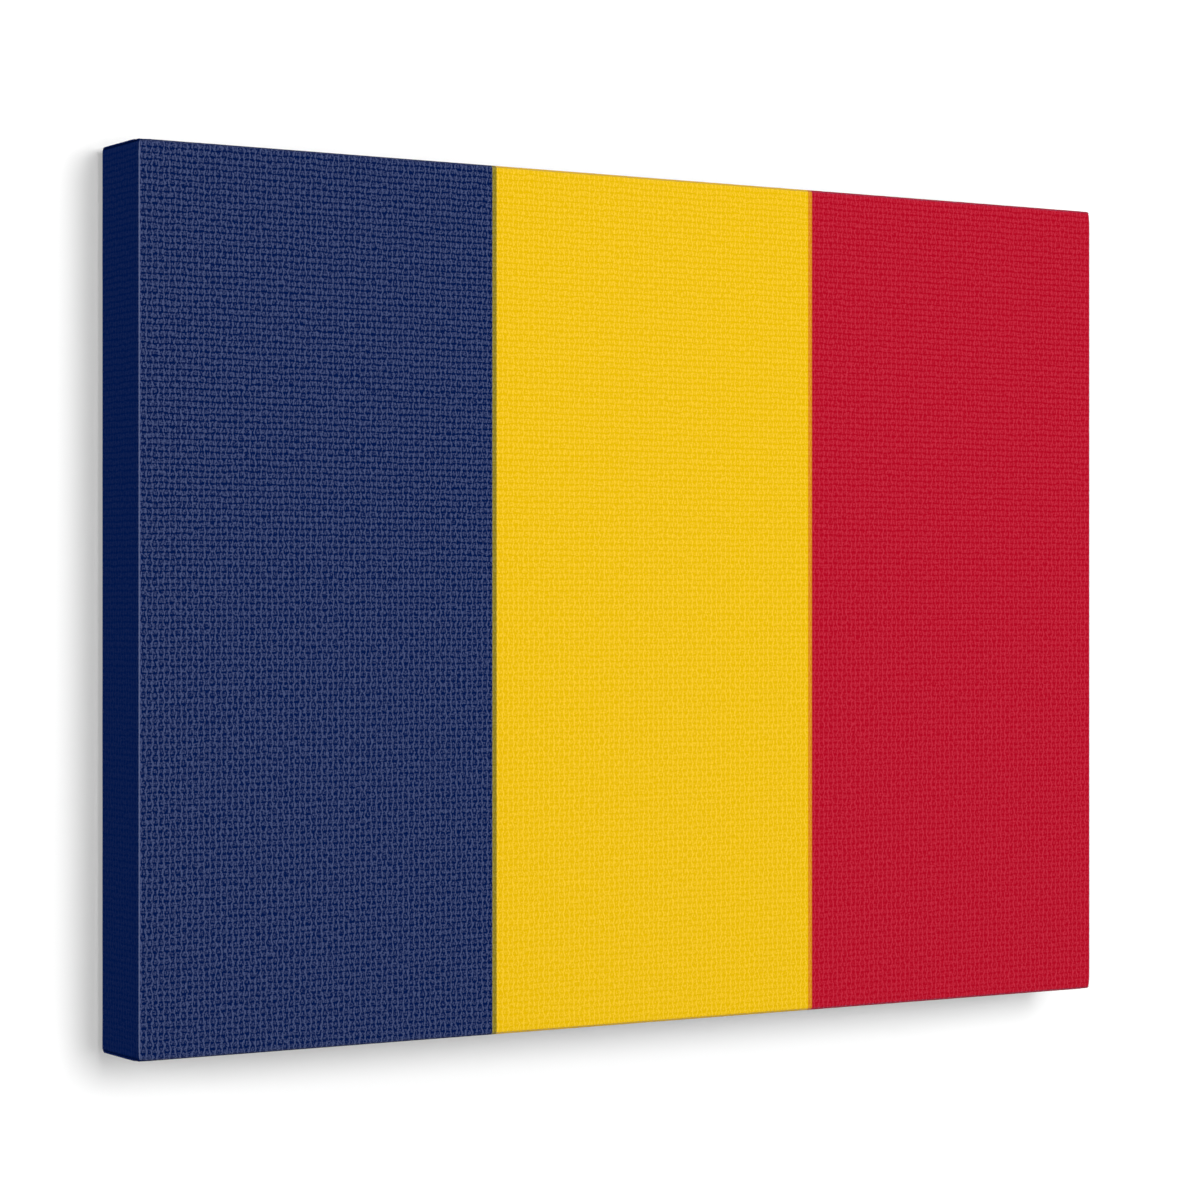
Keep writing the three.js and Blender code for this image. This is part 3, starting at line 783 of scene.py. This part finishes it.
# ------------------------------------------------------------------ finishes on the frame's pieces
def finish_nodes():
    """Gives every carried piece its material."""
    flat = (0, 0, 0)
    upright = (0, math.pi / 2, 0)
    key_rings = 1.6 * MM
    lying = make_timber("pine_lying", flat, PINE_LIGHT, PINE_DARK, 1.0)
    standing = make_timber("pine_standing", upright, PINE_LIGHT, PINE_DARK, 1.0)
    key_lying = make_timber("key_lying", flat, KEY_LIGHT, KEY_DARK, 0.0, key_rings, 0.52)
    key_standing = make_timber("key_standing", upright, KEY_LIGHT, KEY_DARK, 0.0, key_rings, 0.52)
    wire = make_wire()
    zinc = make_zinc()
    rubber = make_rubber()
    for name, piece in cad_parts.items():
        if name in LYING_BARS:
            finish = lying
        elif name in STANDING_BARS:
            finish = standing
        elif name.startswith(("key_right_bar", "key_left_bar")):
            finish = key_lying
        elif name.startswith("key_"):
            finish = key_standing
        elif name.startswith("staple_"):
            finish = wire
        elif name.startswith("bumper_"):
            finish = rubber
        else:
            finish = zinc
        if name != "canvas":
            piece.material_slots[0].material = finish


# ------------------------------------------------------------------ studio
WHITE = (1, 1, 1, 1)
FLOOR_GREY = (0.62, 0.62, 0.62, 1)
UPRIGHT_TURN = (math.pi / 2, 0, 0)

# the wall the canvas hangs on, and the floor below it
WALL_FACE = 21.0 * MM
WALL_PLACE = (0, WALL_FACE, 1.4)
WALL_REACH = 1.6
FLOOR_LEVEL = -180.0 * MM
FLOOR_REACH = 20.0
FLOOR_GLOW = 0.85

# faintly glowing grey cards round the canvas, hidden lights on the backdrop beside it
CARD_ROOM = 0.6 * MM
CARD_BACK = 18.9 * MM
SIDE_CARD_GLOW = 0.07
BACK_CARD_GLOW = 0.30

# each lamp's place and width in metres, and its watts
LAMPS = [
    ("key_lamp", (0.20, -2.3, 0.58), 1.5, 40),
    ("rear_lamp", (-0.9, 2.0, 1.1), 1.4, 36),
    ("left_lamp", (-2.2, -0.35, 0.4), 1.2, 21),
    ("right_lamp", (2.2, -0.35, 0.4), 1.2, 15),
]
SKY_GLOW = 0.42

CAMERA_PLACE = (-837.1 * MM, -1315.2 * MM, 190.5 * MM)
CAMERA_TURN = (math.pi / 2, 0, math.radians(-31.94))
CAMERA_SENSOR = 36.0
CAMERA_LENS = 102.52


def make_stage_plane(name, half_size, place, turn, material):
    """A flat studio surface, as far across each way from its middle as half_size."""
    bm = bmesh.new()
    bmesh.ops.create_grid(bm, x_segments=1, y_segments=1, size=half_size)
    mesh = bpy.data.meshes.new(name)
    bm.to_mesh(mesh)
    bm.free()
    mesh.materials.append(material)
    plane = bpy.data.objects.new(name, mesh)
    plane.location = place
    plane.rotation_euler = turn
    bpy.context.scene.collection.objects.link(plane)
    return plane


def make_one_sided(name, kind, sockets):
    """A plain surface seen from its front, and nothing at all from behind."""
    material = bpy.data.materials.new(name)
    material.use_nodes = True
    tree = material.node_tree
    tree.nodes.clear()
    front = add(tree, kind, sockets)
    clear = add(tree, "ShaderNodeBsdfTransparent")
    behind = add(tree, "ShaderNodeNewGeometry").outputs["Backfacing"]
    mixed = add(tree, "ShaderNodeMixShader", {0: behind, 1: front.outputs[0], 2: clear.outputs[0]})
    add(tree, "ShaderNodeOutputMaterial", {"Surface": mixed.outputs[0]})
    return material


def make_floor_material():
    """Pale floor that stays white far from the lamps."""
    material, tree, shader = new_material("floor_white", roughness=0.9)
    shader.inputs["Base Color"].default_value = FLOOR_GREY
    shader.inputs["Specular IOR Level"].default_value = 0.0
    shader.inputs["Emission Color"].default_value = WHITE
    shader.inputs["Emission Strength"].default_value = FLOOR_GLOW
    return material


def add_lamp(name, place, aim, size, watts):
    """A round soft lamp turned to face its aim."""
    lamp = bpy.data.lights.new(name, "AREA")
    lamp.shape = "DISK"
    lamp.size = size
    lamp.energy = watts
    holder = bpy.data.objects.new(name, lamp)
    holder.location = place
    holder.rotation_euler = (Vector(aim) - Vector(place)).to_track_quat("-Z", "Y").to_euler()
    bpy.context.scene.collection.objects.link(holder)
    return holder


def make_glow_card_material(name, glow):
    """An even grey card that glows, seen from its front only."""
    return make_one_sided(name, "ShaderNodeEmission", {"Color": WHITE, "Strength": glow})


def make_glow_cards():
    """Grey cards round the sides and back, seen only by the backdrop, so no colour spills on it; they
    glow, and light the backdrop's shadow beside the canvas.
    """
    bm = bmesh.new()
    bmesh.ops.create_cube(bm, size=1)
    open_end = [f for f in bm.faces if f.normal.y < -0.5]
    bmesh.ops.delete(bm, geom=open_end, context="FACES_ONLY")
    for face in bm.faces:
        face.material_index = 1 if face.normal.y > 0.5 else 0
    grow = (2 * (HALF_WIDTH + CARD_ROOM), CARD_BACK - FRONT, 2 * (HALF_HEIGHT + CARD_ROOM))
    bmesh.ops.scale(bm, vec=grow, verts=bm.verts)
    bmesh.ops.translate(bm, vec=(0, (FRONT + CARD_BACK) / 2, HALF_HEIGHT), verts=bm.verts)
    mesh = bpy.data.meshes.new("glowing_cards")
    bm.to_mesh(mesh)
    bm.free()
    mesh.materials.append(make_glow_card_material("side_card", SIDE_CARD_GLOW))
    mesh.materials.append(make_glow_card_material("back_card", BACK_CARD_GLOW))
    flags = bpy.data.objects.new("glowing_cards", mesh)
    bpy.context.scene.collection.objects.link(flags)
    flags.visible_camera = False
    flags.visible_glossy = False
    flags.visible_shadow = False
    flags.visible_transmission = False


def make_studio():
    """The wall, the floor, the cards, four soft lamps and an even sky."""
    matt = make_one_sided("backdrop_white", "ShaderNodeBsdfDiffuse", {"Color": WHITE})
    wall = make_stage_plane("backdrop", WALL_REACH, WALL_PLACE, UPRIGHT_TURN, matt)
    wall.visible_shadow = False
    wall.visible_diffuse = False
    wall.visible_glossy = False
    make_glow_cards()
    pale = make_floor_material()
    floor = make_stage_plane("floor", FLOOR_REACH, (0, 0, FLOOR_LEVEL), (0, 0, 0), pale)
    floor.visible_diffuse = False
    for name, place, size, watts in LAMPS:
        add_lamp(name, place, (0, 0, HALF_HEIGHT), size, watts)
    world = bpy.data.worlds.new("studio")
    world.use_nodes = True
    tree = world.node_tree
    soft = tree.nodes["Background"]
    soft.inputs["Color"].default_value = WHITE
    soft.inputs["Strength"].default_value = SKY_GLOW
    seen = add(tree, "ShaderNodeBackground", {"Color": WHITE, "Strength": 1.0})
    direct = add(tree, "ShaderNodeLightPath").outputs["Is Camera Ray"]
    both = add(tree, "ShaderNodeMixShader", {0: direct, 1: soft.outputs[0], 2: seen.outputs[0]})
    tree.links.new(both.outputs[0], tree.nodes["World Output"].inputs["Surface"])
    bpy.context.scene.world = world
    bpy.context.scene.view_settings.view_transform = "Standard"


def make_camera():
    """Level with the canvas's middle, ahead of it and to its left."""
    lens = bpy.data.cameras.new("camera")
    lens.sensor_width = CAMERA_SENSOR
    lens.lens = CAMERA_LENS
    camera = bpy.data.objects.new("camera", lens)
    camera.location = CAMERA_PLACE
    camera.rotation_euler = CAMERA_TURN
    bpy.context.scene.collection.objects.link(camera)
    bpy.context.scene.camera = camera


make_camera()
make_studio()
make_canvas()
finish_nodes()
